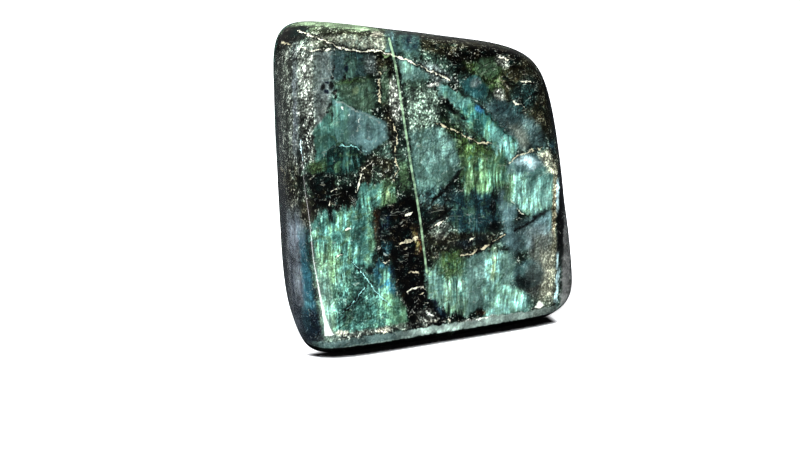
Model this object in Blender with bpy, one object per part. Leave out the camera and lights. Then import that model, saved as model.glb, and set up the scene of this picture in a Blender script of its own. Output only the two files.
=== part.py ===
"""A free-standing polished labradorite: one stone, sawn as a block, ground to flats, then rounded and polished.

Every flat is a plane with a direction and a distance from the middle of the block. The polished skin is the
smooth joining of all the planes, so the edges between two flats are round and the flats themselves stay nearly
flat. The foot is ground dead flat, and the stone stands on it.
"""

import bmesh
import bpy
import numpy as np

# Driving dimensions, in metres. +Z is up, -Y is the show face, and the origin is on the foot, under the
# middle of the finished stone.
BLOCK_WIDTH = 0.104
BLOCK_DEPTH = 0.046
BLOCK_HEIGHT = 0.104
MIDDLE = np.array([-0.0038, -0.0024, BLOCK_HEIGHT / 2])  # middle of the sawn block
EDGE_SOFTNESS = 0.0038  # rounds a square edge to a radius of about 1.4 times this

# Each flat that was ground: turn from the show face towards +X, lean above the level, both in degrees, and its
# distance from the middle of the block in metres.
FLATS = {
    "show_face": (0, 3, 0.0205),
    "back": (174, 6, 0.02),
    "left_side": (-100, -1, 0.0455),
    "left_bevel": (-54, -1, 0.05),
    "lower_left": (-100, -13, 0.0575),
    "right_side": (86, 5, 0.051),
    "right_flare": (58, 10, 0.044),
    "crown": (99, 81, 0.04),
    "right_shoulder": (83, 38, 0.051),
    "left_shoulder": (-84, 40, 0.063),
    "lower_right": (72, -64, 0.0695),
    "foot_edge": (0, -90, 0.056),
}

# The grid that the sawn block is divided into before it is ground, as cuts along each side.
CUTS_WIDE = 29
CUTS_DEEP = 15
CUTS_TALL = 29
CROWDING = 0.78  # how far the cuts crowd towards the block's edges, where the rounding is

GRINDING_STEPS = 40
FURTHEST = 1.6  # the skin lies nearer than this many times the way from a ray's start to its block point
TINY = 1e-6

BODY_COLOUR = (0.052, 0.085, 0.078, 1.0)
BODY_ROUGHNESS = 0.18


def direction(turn, lean):
    """The outward direction of a flat: turned from -Y towards +X, then leaned up."""
    turn, lean = np.radians(turn), np.radians(lean)
    return np.array([np.sin(turn) * np.cos(lean), -np.cos(turn) * np.cos(lean), np.sin(lean)])


def outside(points):
    """How far points lie outside the polished skin, in metres, and below zero inside it.

    It is the smooth maximum of the heights above all the flats: softness * log(sum(exp(height / softness))).
    """
    heights = np.stack(
        [(points - MIDDLE) @ direction(turn, lean) - distance for turn, lean, distance in FLATS.values()], axis=1
    )
    highest = heights.max(axis=1)
    total = np.exp((heights - highest[:, None]) / EDGE_SOFTNESS).sum(axis=1)
    return highest + EDGE_SOFTNESS * np.log(total)


def ground(starts, ends):
    """Where the rays from starts through ends leave the skin, found by halving the stretch that holds it."""
    near, far = np.zeros(len(starts)), np.full(len(starts), FURTHEST)
    for _ in range(GRINDING_STEPS):
        half = (near + far) / 2
        inside = outside(starts + (ends - starts) * half[:, None]) < 0
        near, far = np.where(inside, half, near), np.where(inside, far, half)
    return starts + (ends - starts) * near[:, None]


def polished(block):
    """Moves points of the sawn block onto the polished skin.

    A point's ray starts on the block's upright axis. The start rises with the point, so rays at the foot are
    level and stay in its plane, and rays at the crown fan out from the middle.
    """
    height = block[:, 2]
    starts = np.tile(MIDDLE, (len(block), 1))
    starts[:, 2] = height - height**2 / (2 * BLOCK_HEIGHT)
    beside = block - starts
    share = np.maximum(abs(beside[:, 0]) / (BLOCK_WIDTH / 2), abs(beside[:, 1]) / (BLOCK_DEPTH / 2))
    in_foot = height < TINY
    ends = block.copy()
    ends[in_foot] = starts[in_foot] + beside[in_foot] / np.maximum(share[in_foot], TINY)[:, None]
    skin = ground(starts, ends)
    skin[in_foot] = starts[in_foot] + (skin - starts)[in_foot] * share[in_foot][:, None]
    skin[in_foot, 2] = 0.0
    return skin


def crowded(share):
    """Shares from -1 to 1, moved towards both ends by a sine."""
    return np.sin(share * CROWDING * np.pi / 2) / np.sin(CROWDING * np.pi / 2)


def sawn_block(mesh):
    """A cube primitive divided into a grid, with its points crowded towards the edges, at the block's size."""
    made = bmesh.new()
    bmesh.ops.create_cube(made, size=2.0)
    for axis, cuts in enumerate((CUTS_WIDE, CUTS_DEEP, CUTS_TALL)):
        along = [
            edge
            for edge in made.edges
            if abs(edge.verts[0].co[axis] - edge.verts[1].co[axis]) > 1.0
        ]
        bmesh.ops.subdivide_edges(made, edges=along, cuts=cuts, use_grid_fill=True)
    bmesh.ops.recalc_face_normals(made, faces=made.faces)
    made.to_mesh(mesh)
    made.free()


def make_stone(collection, material):
    mesh = bpy.data.meshes.new("labradorite")
    sawn_block(mesh)
    places = np.empty(len(mesh.vertices) * 3, np.float32)
    mesh.vertices.foreach_get("co", places)
    shares = crowded(places.reshape(-1, 3).astype(float))
    block = MIDDLE + shares * np.array([BLOCK_WIDTH, BLOCK_DEPTH, BLOCK_HEIGHT]) / 2
    mesh.vertices.foreach_set("co", polished(block).astype(np.float32).ravel())
    mesh.materials.append(material)
    mesh.shade_smooth()
    stone = bpy.data.objects.new("labradorite_stone", mesh)
    collection.objects.link(stone)
    return stone


def stone_material():
    material = bpy.data.materials.new("polished_labradorite")
    material.use_nodes = True
    shader = material.node_tree.nodes["Principled BSDF"]
    shader.inputs["Base Color"].default_value = BODY_COLOUR
    shader.inputs["Roughness"].default_value = BODY_ROUGHNESS
    shader.inputs["Metallic"].default_value = 0.0
    return material


def main():
    for thing in list(bpy.data.objects):
        bpy.data.objects.remove(thing)
    collection = bpy.data.collections.new("labradorite_freeform")
    bpy.context.scene.collection.children.link(collection)
    make_stone(collection, stone_material())


if __name__ == "__main__":
    main()
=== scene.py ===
"""A free-standing polished labradorite, dressed: the ground skin, the flash and veins in it, and a studio.

Lengths in the geometry are metres. The pattern in the stone is laid out in millimetres, on a slanted sheet
that is pushed into the stone, so one drawing serves the show face and what is near it on the sides and the
crown. Deeper in, the stone has crystals of its own, which no drawing places.
"""

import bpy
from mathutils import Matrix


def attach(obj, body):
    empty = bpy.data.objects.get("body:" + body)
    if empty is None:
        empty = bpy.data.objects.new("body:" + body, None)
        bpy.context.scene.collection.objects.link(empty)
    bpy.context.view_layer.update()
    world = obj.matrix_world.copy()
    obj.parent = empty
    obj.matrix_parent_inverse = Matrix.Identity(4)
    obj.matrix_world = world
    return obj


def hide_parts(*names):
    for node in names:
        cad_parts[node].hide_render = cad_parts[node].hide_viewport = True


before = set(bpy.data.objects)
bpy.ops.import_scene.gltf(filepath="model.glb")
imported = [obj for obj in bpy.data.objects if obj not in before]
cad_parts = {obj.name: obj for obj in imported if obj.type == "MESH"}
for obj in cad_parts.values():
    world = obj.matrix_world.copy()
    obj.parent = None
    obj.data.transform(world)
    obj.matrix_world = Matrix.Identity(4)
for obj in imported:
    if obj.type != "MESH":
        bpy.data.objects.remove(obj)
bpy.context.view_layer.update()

from types import SimpleNamespace

import bpy
import numpy as np
from mathutils import Vector

bl_info = {
    "name": "Polished labradorite freeform",
    "version": (1, 0, 0),
    "blender": (4, 5, 0),
    "location": "3D View > Sidebar > Labradorite",
    "description": "Grinds, polishes and colours a free-standing labradorite, and sets up its studio",
    "category": "Add Mesh",
}

STONE_NODE = "labradorite_stone"
BODY = "root"

# The stone's form: the same flats as the solid part, from the middle of the sawn block.
BLOCK = np.array([0.104, 0.046, 0.104])  # width, depth and height of the sawn block
MIDDLE = np.array([-0.0038, -0.0024, 0.052])
EDGE_SOFTNESS = 0.0038
FLATS = {  # turn from the show face towards +X and lean above the level in degrees, distance from the middle
    "show_face": (0, 3, 0.0205),
    "back": (174, 6, 0.02),
    "left_side": (-100, -1, 0.0455),
    "left_bevel": (-54, -1, 0.05),
    "lower_left": (-100, -13, 0.0575),
    "right_side": (86, 5, 0.051),
    "right_flare": (58, 10, 0.044),
    "crown": (99, 81, 0.04),
    "right_shoulder": (83, 38, 0.051),
    "left_shoulder": (-84, 40, 0.063),
    "lower_right": (72, -64, 0.0695),
    "foot_edge": (0, -90, 0.056),
}
CELLS = np.array([160, 72, 156])  # cells of the grid along the block's width, depth and height
CROWDING = 0.78  # how far the cells crowd towards the block's edges, where the rounding is
GRINDING_STEPS = 24
FURTHEST = 1.6  # the skin lies nearer than this many times the way from a ray's start to its block point
TINY = 1e-6
SIDE_AXES = ((1, 2), (2, 0), (0, 1))  # for a side of the block across each axis, the two axes along it
WAVES = (  # the hand-polished skin's gentle waves: number of waves per metre along x, y and z, and a phase
    ((29.0, 12.0, 17.0), 0.4),
    ((-14.0, 21.0, 33.0), 2.1),
    ((41.0, -17.0, -25.0), 4.4),
    ((9.0, 38.0, 47.0), 1.3),
)
FLAT_FOOT = 0.006  # below this height the waves fade out towards the foot

# The studio, in metres and degrees.
CAMERA_PLACE = (-0.13866, -0.31882, 0.13831)
CAMERA_TURN = -22.0
CAMERA_DIP = 17.4  # below the level
SENSOR_WIDTH = 36.0  # in mm
CAMERA_NEAR, CAMERA_FAR = 0.01, 20.0
KEY_PLACE = (-0.5, -0.9, 0.95)
KEY_SIZE = 0.7
TOP_PLACE = (-0.25, 0.12, 0.62)
TOP_SIZE = 0.4
LIGHT_TARGET = (0.0, 0.0, 0.05)
FLOOR_GLOW = 0.9  # the light that the floor adds for the camera alone, so that it looks plain
FLOOR_MIRRORED = (0.02, 0.022, 0.025)  # the floor's colour where the polish mirrors it
CONTACT_REACH = 0.0065  # how far round the foot the floor is sheltered from the light
CONTACT_SHELTER = (0.78, 0.86)  # the floor's openness to the light where the shade is full and where it ends
CONTACT_FRONT = (-0.022, -0.018)  # the shade fades out between these places towards the back
CONTACT_RIGHT = (0.033, 0.037)  # and between these towards the right
CONTACT_COLOUR = (0.002, 0.002, 0.002)
WALL_SIDE = (0.3, 0.8)  # the wall that the polish mirrors begins and is full at these shares towards +Y
WALL_RISE = (-0.05, 0.1)  # and at these shares upwards
WALL_LIGHT = 0.04
ROOM_LIGHT = 0.018  # the light of the rest of the room in the polish
CARD_LINE = (  # the middle line on the floor of the card that the left crease mirrors
    (-0.36, -0.118), (-0.306, -0.115), (-0.256, -0.111), (-0.22, -0.109), (-0.19, -0.105), (-0.168, -0.1),
    (-0.141, -0.09), (-0.12, -0.082), (-0.1, -0.075), (-0.084, -0.066), (-0.068, -0.056), (-0.055, -0.045),
    (-0.046, -0.032),
)
CARD_HALF_WIDTHS = (
    0.002, 0.002, 0.0022, 0.0022, 0.0022, 0.0022, 0.0024, 0.0026, 0.0026, 0.0028, 0.003, 0.0035, 0.004
)
CARD_LIFT = 0.0008
CARD_STRENGTH = 22.0

# The sheet that the pattern is drawn on, in mm.
MM = 1000.0  # in a metre
SHEET_DEPTH = -22.0  # where the sheet crosses the show face
SLANT_ACROSS = 0.45  # how far the pattern sheet leans across and up for each step into the stone
SLANT_UP = 0.3
BEND = 3.0  # how far the slow bends carry the whole pattern
BEND_RATE = 1 / 15
BEND_NOISE = (1.0, 0.5)  # detail and roughness
RIGHT_SIDE = (12.0, 34.0)  # between these places across, the drawing grows shallow towards the right side
LEFT_REACH = 27.0  # how far in the drawing reaches at the left and at the right
RIGHT_REACH = 9.0
REACH_RAGGED = 8  # how far the breaks and the broad streaks push the drawing's end in and out
ASIDE = 300.0  # points deeper than the drawing are read this far beside it, where it is bare
EDGE_BREAKS, EDGE_GRAIN = 1.6, 2.0  # how far the fine breaks and the grain move the edges across and up
TEETH_FINE, TEETH_BROAD = 9, 8  # how far the streaks draw out a toothed edge
TOOTHED = 0.75  # zones with more streaks than this have edges that run out along the streaks
SHARD_SIDES = 6  # the most sides that a shard zone may have

# The noises: their rates per mm across, up and inward, their detail and their roughness.
NOISES = {
    "cloud": ((1 / 9, 1 / 9, 1 / 9), 3.0, 0.6),
    "grit": ((1.9, 1.5, 1.7), 1.5, 0.6),
    "grain": ((0.5, 0.4, 0.45), 3.0, 0.62),
    "streak": ((1.3, 0.16, 0.3), 4.0, 0.68),
    "broad": ((0.36, 0.05, 0.15), 2.0, 0.5),
    "breaks": ((1 / 2.2, 1 / 2.2, 1 / 2.2), 2.0, 0.6),
    "flaking": ((0.95, 0.7, 0.8), 3.0, 0.75),
    "scratch": ((0.1, 0.34, 0.3), 1.5, 0.5),
}
FINE_RATE, FINE_NOISE = 1 / 2.4, (3.0, 0.65)
HAIR_CROSS = (0.14, -0.2, 0.1)  # rates square to the hairs' run, which climbs to the right, and along it
HAIR_ALONG = (0.05, 0.035, 0.03)
HAIR_NOISE = (2.0, 0.5)
CLEFT_RATES = (0.14, 0.2, 0.16)  # cells per mm: those between the cracks, the shards and the deep crystals
SHARD_RATES = (0.24, 0.17, 0.2)
CRYSTAL_RATES = (0.06, 0.035, 0.05)

# The markings: the two ends of each one's soft edge, on the number that draws it, and its strength. RAGGED is
# how far another noise frays it, and GAIN and LEAST how it follows the stone and how much is left elsewhere.
HALF = 0.5  # the noises' middle
PALE_CLOUDS = (0.36, 0.64)
BODY_CARRIES = (0.1, 0.8, 0.4)  # how much of the streaks, the grain and the cracks the clouded body carries
SLATE_CRYSTALS, TEAL_CRYSTALS = (0.4, 0.6), (0.6, 0.8)
MOSS_CRYSTALS, BLACK_CRYSTALS = (0.66, 0.7), (0.16, 0.22)
STREAKED_CRYSTALS, CRYSTAL_STREAKS = (0.5, 0.7), 0.8
GRAINED_CRYSTALS, CRYSTAL_GRAINS = (0.1, 0.6), 0.7
CRACKED_CRYSTALS, CRYSTAL_CRACKS = (0.2, 0.5), 0.8
CRYSTAL_LEAST = 0.15  # the least grain and cracks in a crystal
DARK_STONE = (0.4, 0.9)
HUE_SWING = 0.7  # how much the broad streaks share in the shifts of the flash
GOLD_SHIFT, GOLD_STRENGTH = (0.5, 0.62), 0.75
TEAL_SHIFT, TEAL_STRENGTH = (0.34, 0.48), 0.5
UMBER_SHIFT, DEEP_SHIFT, DARK_STRENGTH = (0.54, 0.64), (0.36, 0.46), 0.6
GLINT, GLINT_STRENGTH, GLINT_RAGGED = (0.58, 0.72), 0.45, 0.4
CRACK, CRACK_STRENGTH, CRACK_RAGGED = (0.01, 0.07), 0.85, 0.14
HAIR, HAIR_BREAKS, HAIR_GAIN, HAIR_LEAST = (0.008, 0.03), (0.4, 0.52), 0.7, 0.3
PATCHY = (0.44, 0.58)  # the grain that keeps scratches and flakes to patches
SCRATCH, SCRATCH_BREAKS, SCRATCH_STRENGTH = (0.004, 0.018), (0.5, 0.57), 0.4
NICK_LEVEL, NICK, NICK_BREAKS, NICK_STRENGTH = 0.43, (0.002, 0.011), (0.5, 0.58), 0.5
LOOSE, DARK_HOLDS = (0.25, 1.0), 0.6  # the speckle where flecks begin, and how far dark stone holds them back
FLAKE = (0.58, 0.68)
SPARK, SPARK_RAGGED, SPARK_GAIN, SPARK_LEAST = (0.64, 0.7), 0.7, 0.9, 0.1
RELIEF, RELIEF_STRENGTH, RELIEF_HEIGHT = (0.0, 0.05), 0.25, 0.0001  # the cracks in the polish, in metres

# The veins, in mm: distances inside an edge are above zero, and those outside it below.
VEIN_EDGE = (-0.1, 0.12)  # where the paint starts and is full
VEIN_BORDER = (-0.9, -0.1)  # where the dark border starts and is full
VEIN_RAGGED, BORDER_RAGGEDNESS = 1.6, -0.4  # how far the edges are frayed, and the border's share in that
VEIN_TAPER, TAPER_SHARE = 2.0, 0.25  # the taper at each end, and the most of the vein's run that it may take
VEIN_OVERRUN, VEIN_GONE = 0.4, -1.2  # how far past its end a vein is gone, and its half width there
WORN, WORN_RAGGED, WORN_GAIN, WORN_LEAST = (0.4, 0.56), 0.6, 0.5, 0.5  # how the paint is worn thin in places
SEAM_RAGGEDNESS, SEAM_BORDER = 0.05, 0.3

# Light and dark, as powers of e: how far each number swings the brightness from its middle.
GRAIN_SWING, GRIT_SWING, GRAIN_LEAST = 5.0, 6.0, 0.12
STREAK_SWING, BROAD_SWING, STREAK_LEAST = 7.0, 3.5, 0.1
CLOUDED_STREAKS, CLOUDED_GAIN, CLOUDED_LEAST = (0.4, 0.6), 0.7, 0.5  # the streaks are stronger in some clouds
SHARD_SWING, CLOUD_SWING = 0.5, 2.4
BREAK_SWING, BREAK_LEAST = 1.6, 0.3
DIMMED, SPECKLED_DIMMED = 0.18, 0.2
DEEPENING = 1.5  # the power that sets the darks of the polished stone apart from its lights
FOOT_SHADOW_EDGE, FOOT_SHADOW_RAGGED = (1.6, 2.0), 0.2  # a dark, dull band along the foot, painted as its contact shadow, ends between these heights, in mm
FOOT_SHADOW_BRIGHTNESS, FOOT_BAND_ROUGHNESS = 0.02, 0.8
COAT_WEIGHT, SPECULAR = 0.9, 0.2


def linear(red, green, blue):
    """A colour given in display values from 0 to 255, as linear light."""
    shares = np.array([red, green, blue]) / 255
    bright = ((shares + 0.055) / 1.055) ** 2.4
    return tuple(float(share) for share in np.where(shares < 0.04045, shares / 12.92, bright))


PALETTE = {  # display values from 0 to 255
    "body_dark": (36, 52, 45),
    "body_pale": (76, 94, 86),
    "slate": (108, 132, 134),
    "slate_low": (96, 119, 119),
    "slate_dark": (78, 102, 102),
    "slate_teal": (84, 118, 110),
    "deep_teal": (32, 58, 54),
    "teal": (84, 136, 130),
    "flash_teal": (112, 156, 146),
    "flash_cyan": (137, 183, 175),
    "flash_pale": (146, 184, 174),
    "flash_green": (118, 158, 136),
    "ice": (178, 226, 222),
    "pale_teal": (138, 168, 154),
    "pale_cyan": (150, 190, 184),
    "green": (98, 122, 78),
    "gold_green": (106, 132, 102),
    "leaf": (128, 142, 118),
    "gold": (132, 152, 120),
    "moss": (92, 113, 98),
    "olive": (74, 92, 58),
    "pale_moss": (172, 188, 152),
    "taupe": (144, 148, 136),
    "brown": (64, 64, 50),
    "rust": (104, 70, 36),
    "umber": (54, 46, 28),
    "black": (9, 12, 9),
    "indigo": (45, 74, 80),
    "night": (22, 36, 54),
    "dusk": (62, 100, 102),
    "stone_blue": (122, 148, 150),
    "stone": (92, 112, 112),
    "blue": (68, 114, 126),
    "clear_blue": (92, 156, 196),
    "grey": (116, 143, 137),
    "grey_low": (104, 131, 124),
    "spark_grey": (130, 148, 136),
    "ash": (94, 98, 93),
    "pewter": (152, 157, 149),
    "purple_grey": (124, 134, 132),
    "smoke": (112, 118, 124),
    "haze": (138, 140, 138),
    "navy": (40, 50, 60),
    "cream": (222, 222, 206),
    "tan": (198, 194, 172),
    "straw": (156, 146, 120),
    "sand": (190, 192, 172),
    "white": (232, 236, 228),
    "white_blue": (206, 232, 234),
    "rim_grey": (164, 180, 173),
    "rim_green": (200, 224, 192),
    "seam_green": (172, 198, 170),
}

# The colour zones, laid in this order. A round or a slab gives its middle across and up, its half width and
# half height in mm, its turn in degrees and its fade as a share of its size. A shard gives its corners
# clockwise and its fade in mm. Then come the strength, and how much of the streaks, the grain and the cracks
# it carries.
ZONES = (
    # the left side
    ("ash", "slab", (-55.5, 76), (4.6, 22), 0, 0.3, 0.9, (0.1, 0.8, 0.3)),
    ("smoke", "slab", (-51.2, 78), (0.9, 14), 0, 0.7, 0.7, (0.1, 0.5, 0.1)),
    ("black", "slab", (-60.6, 62), (1.3, 20), 0, 0.5, 0.95, (0, 0.6, 0.2)),
    ("black", "slab", (-54.6, 66), (0.5, 9), 2, 0.8, 0.7, (0, 0.6, 0.2)),
    ("black", "shard",
     ((-62, 100), (-56, 106), (-49.5, 105), (-48.5, 98), (-56, 95), (-62, 96)), 1.2, 0.9, (0, 0.6, 0.7)),
    ("deep_teal", "round", (-51.5, 100), (2.4, 1.6), 0, 0.6, 0.8, (0, 0.3, 0)),
    ("brown", "slab", (-55.5, 52), (5.4, 8), 0, 0.5, 0.95, (0, 0.9, 0.9)),
    ("smoke", "slab", (-53, 24), (4.4, 22), 0, 0.3, 0.97, (0.1, 0.2, 0.1)),
    ("navy", "slab", (-59.5, 22), (2.6, 26), 0, 0.5, 0.9, (0, 0.3, 0.1)),
    ("haze", "slab", (-57, 28), (0.9, 12), 0, 0.8, 0.5, (0, 0.5, 0.1)),
    ("night", "slab", (-54.7, 22), (0.5, 9), 3, 0.8, 0.7, (0, 0.2, 0.1)),
    ("blue", "slab", (-48.6, 24), (1.7, 13), 4, 0.6, 0.92, (0.2, 0.3, 0.1)),
    ("deep_teal", "slab", (-47.5, 33), (1.2, 6), 4, 0.5, 0.7, (0.3, 0.3, 0.1)),
    ("night", "shard",
     ((-54, 16), (-46, 15), (-42.5, 5), (-44, 3), (-52, 3.5)), 1.6, 0.85, (0.1, 0.3, 0.1)),
    ("blue", "round", (-49.5, 12), (1.2, 4), 8, 0.8, 0.3, (0.2, 0.3, 0.1)),
    ("umber", "round", (-47.8, 45.5), (2.2, 4), 0, 0.6, 0.9, (0.1, 0.7, 0.5)),
    ("black", "slab", (-50.2, 57), (0.7, 8), 0, 0.8, 0.9, (0, 0.4, 0.1)),
    # along the top
    ("leaf", "shard",
     ((-49, 104.5), (-23, 99.6), (-22.6, 96), (-32, 96.2), (-47, 98.5)), 0.9, 0.8, (0.1, 0.9, 0.5)),
    ("taupe", "shard",
     ((-46, 97.4), (-32, 96.6), (-22.8, 95.6), (-22.6, 91.4), (-36, 92.3), (-47, 94)),
      1.4, 0.9, (0.35, 0.65, 0.2)),
    ("brown", "slab", (-34, 97.3), (11, 0.9), -3, 0.9, 0.8, (0, 0.8, 0.6)),
    # this pale green band on the top face is partly the stone's colour and partly a painted highlight of the
    # top edge lit from above
    ("rim_green", "slab", (-41, 102.4), (14, 2), -11.3, 0.35, 0.97, (0, 0.5, 0.1)),
    ("cream", "round", (-26.4, 96.9), (1.5, 0.9), 0, 0.6, 0.9, (0, 0.6, 0.3)),
    ("slate", "slab", (-22, 94), (1.4, 5.2), 8, 0.5, 0.9, (0.4, 0.2, 0)),
    ("slate_dark", "slab", (-16.5, 93.4), (4, 3.6), -10, 0.4, 0.95, (0.2, 0.4, 0.1)),
    ("night", "round", (-16.3, 94.5), (0.6, 2.4), 0, 0.7, 0.8, (0.1, 0.3, 0)),
    ("night", "round", (-14.3, 91.8), (0.8, 1), 0, 0.7, 0.7, (0.1, 0.3, 0)),
    ("brown", "shard",
     ((-13, 97), (10, 94), (20, 90), (12, 85), (-2, 87), (-12, 91)), 1.2, 0.95, (0, 0.8, 0.8)),
    ("black", "shard",
     ((-5, 89.5), (10, 91.5), (24, 88), (20, 80), (8, 81), (-1, 83)), 1.4, 0.9, (0, 0.8, 0.9)),
    # this thin grey band along the top right edge is a painted sheen
    ("haze", "slab", (0, 95.6), (15, 0.8), -9.5, 0.8, 0.7, (0, 0.4, 0.1)),
    # upper left
    ("pewter", "slab", (-47.6, 82), (2.6, 12), 0, 0.6, 0.85, (0.1, 0.9, 0.3)),
    ("ash", "slab", (-47.4, 66.5), (2.2, 7), 0, 0.5, 0.9, (0.1, 1, 0.6)),
    ("purple_grey", "shard",
     ((-45, 92.4), (-39.4, 92.2), (-38.6, 84), (-40, 79), (-42, 71), (-45, 70)),
      1, 0.93, (0.15, 0.45, 0.1)),
    ("ash", "slab", (-43, 75), (1.5, 3.5), 0, 0.6, 0.6, (0.1, 0.5, 0.1)),
    ("slate", "slab", (-37.6, 87.4), (1.8, 4.4), 0, 0.8, 0.85, (0.4, 0.25, 0.1)),
    ("slate_dark", "shard",
     ((-35, 91.4), (-29.5, 91), (-29, 84), (-31, 82), (-35, 83)), 1.2, 0.9, (0.35, 0.35, 0.1)),
    ("purple_grey", "round", (-27.6, 87.6), (2.2, 2.8), 0, 0.6, 0.8, (0.1, 0.6, 0.2)),
    ("moss", "shard",
     ((-38.4, 82.4), (-27, 83), (-26.4, 76), (-29, 73.6), (-37.6, 77.4)), 1.4, 0.85, (0.2, 0.3, 0.1)),
    ("olive", "slab", (-34, 83), (4.4, 0.7), 4, 0.8, 0.8, (0, 0.4, 0.5)),
    ("pale_moss", "round", (-32.6, 80), (1, 1), 0, 0.7, 0.45, (0.1, 0.3, 0.1)),
    ("slate_teal", "shard",
     ((-45.4, 70), (-41, 74), (-38.5, 68), (-39.5, 60.5), (-45, 59.5)), 0.5, 0.95, (0.25, 0.25, 0.1)),
    ("slate_low", "shard",
     ((-39.7, 78.2), (-33, 75), (-21.4, 69.6), (-21.4, 65.5), (-29.6, 60.6), (-39, 66)),
      0.3, 0.97, (0.1, 0.12, 0)),
    ("slate_teal", "slab", (-37.2, 70.5), (2.4, 6.4), 0, 0.6, 0.7, (0.35, 0.2, 0.05)),
    ("deep_teal", "shard",
     ((-43, 61), (-38.4, 65.6), (-31, 63.4), (-29.4, 57), (-37, 55.4), (-43.4, 57)),
      0.6, 0.97, (0.5, 0.2, 0.2)),
    ("slate_teal", "slab", (-35.6, 60), (0.9, 3.4), 0, 0.6, 0.6, (0.5, 0.2, 0.1)),
    ("brown", "shard",
     ((-26.6, 91), (-21.4, 90), (-19.6, 70), (-20.4, 56), (-22.4, 66), (-26.2, 78)),
      1.2, 0.95, (0, 0.8, 1)),
    ("moss", "slab", (-23.4, 81), (1.4, 5), 4, 0.6, 0.8, (0.1, 0.5, 0.4)),
    ("pewter", "round", (-20.2, 76), (1.7, 5.4), 6, 0.6, 0.8, (0, 1, 0.2)),
    ("black", "round", (-42.6, 81.6), (0.8, 0.9), 0, 0.4, 0.9, (0, 0.3, 0)),
    ("night", "round", (-41.2, 80.2), (0.9, 0.6), 0, 0.4, 0.95, (0, 0.3, 0)),
    ("black", "round", (-40, 81.8), (0.6, 1), 0, 0.4, 0.9, (0, 0.3, 0)),
    ("night", "round", (-41.2, 82.8), (0.7, 0.4), 0, 0.4, 0.9, (0, 0.3, 0)),
    ("black", "round", (-38.9, 80.2), (0.7, 0.6), 0, 0.4, 0.95, (0, 0.3, 0)),
    ("black", "round", (-38.5, 78.9), (0.5, 0.7), 0, 0.4, 0.9, (0, 0.3, 0)),
    ("black", "slab", (-39.2, 86.8), (0.35, 1.3), 0, 0.6, 0.8, (0, 0.3, 0)),
    ("black", "round", (-39.4, 84.2), (0.4, 0.7), 0, 0.5, 0.8, (0, 0.3, 0)),
    ("night", "round", (-35.2, 86.6), (0.5, 1.2), 0, 0.5, 0.9, (0, 0.3, 0)),
    ("black", "round", (-35.7, 84), (0.6, 0.6), 0, 0.5, 0.95, (0, 0.3, 0)),
    ("black", "round", (-34, 83.6), (0.5, 0.5), 0, 0.5, 0.9, (0, 0.3, 0)),
    ("black", "round", (-40.3, 76.6), (0.4, 0.9), -30, 0.5, 0.8, (0, 0.3, 0)),
    ("black", "round", (-41, 74.4), (0.4, 0.4), 0, 0.5, 0.8, (0, 0.3, 0)),
    ("black", "round", (-39.8, 73.3), (0.4, 0.5), 0, 0.5, 0.8, (0, 0.3, 0)),
    ("white", "round", (-36.8, 74.8), (0.16, 0.6), 20, 0.5, 0.7, (0, 0.2, 0)),
    ("white", "round", (-31.4, 71.2), (0.14, 0.7), -20, 0.5, 0.7, (0, 0.2, 0)),
    ("white", "round", (-34.5, 73), (0.2, 0.25), 0, 0.5, 0.6, (0, 0.2, 0)),
    # upper right
    ("grey", "shard",
     ((-19.6, 89.5), (-15, 88), (-9, 82.5), (-13, 80.5), (-18, 81.6)), 0.8, 0.9, (0.3, 0.25, 0.05)),
    ("moss", "shard", ((-17.6, 82), (-11, 82), (-10.4, 78), (-17, 78)), 1, 0.7, (0.2, 0.6, 0.3)),
    ("spark_grey", "shard",
     ((-17.2, 79), (-10, 80), (-5.6, 77), (-6.6, 68), (-15.6, 65.5)), 1.2, 0.95, (0.1, 0.9, 0.2)),
    ("purple_grey", "shard", ((-13, 87), (-7, 85.8), (-0.5, 80.6), (-7, 80.4)), 0.8, 0.85, (0, 0.7, 0.5)),
    ("white", "round", (-8.2, 80.1), (1.5, 0.6), 0, 0.6, 0.9, (0, 0.9, 0.2)),
    ("olive", "shard", ((2, 86), (13, 87), (20, 80), (16, 74), (8, 78)), 1.2, 0.9, (0.1, 0.6, 0.6)),
    ("moss", "round", (9.5, 84), (3.4, 2.2), -20, 0.7, 0.7, (0.1, 0.4, 0.2)),
    ("dusk", "shard", ((0.5, 80.4), (6, 82), (10, 78), (9.6, 73.6), (3, 76)), 0.9, 0.95, (0.2, 0.3, 0.1)),
    ("haze", "round", (5.6, 79.6), (1.4, 1), 0, 0.8, 0.5, (0.1, 0.6, 0.1)),
    ("brown", "shard",
     ((14, 82), (24, 88), (32, 76), (34, 61), (28, 61), (16, 72)), 1.4, 0.95, (0, 0.6, 0.9)),
    ("black", "shard",
     ((24, 91), (32, 82), (38, 50), (34, 53), (32, 64), (27.6, 80)), 1.2, 0.97, (0, 0.5, 0.3)),
    ("stone", "shard",
     ((8, 73), (14, 74.5), (28, 65), (31, 58), (21, 57.4), (14, 66)), 1.2, 0.93, (0.1, 0.35, 0.2)),
    ("taupe", "shard", ((17, 66), (22, 65), (25, 59), (22, 57.6)), 1.4, 0.6, (0, 0.3, 0.1)),
    ("indigo", "round", (14, 71.5), (2.6, 1.8), -30, 0.7, 0.5, (0.1, 0.4, 0.2)),
    ("dusk", "round", (22, 74), (3.2, 5), -30, 0.8, 0.6, (0, 0.7, 0.7)),
    ("pewter", "round", (14.4, 85.8), (2.2, 1.5), -40, 0.6, 0.95, (0, 1, 0.5)),
    ("pewter", "round", (13.8, 75.6), (1.9, 1.5), -40, 0.6, 0.95, (0, 1, 0.5)),
    ("blue", "slab", (33.4, 57.4), (0.8, 1.8), 20, 0.7, 0.6, (0, 0.2, 0)),
    ("flash_cyan", "shard",
     ((-7.5, 79.4), (-4, 79.4), (5.6, 74), (9, 70), (3.4, 69.4), (-4, 75.6)), 0.5, 0.8, (0.7, 0.2, 0.1)),
    ("pale_cyan", "slab", (-6, 78.4), (0.5, 1.6), 0, 0.6, 0.9, (0.5, 0.2, 0)),
    ("teal", "shard",
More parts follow.
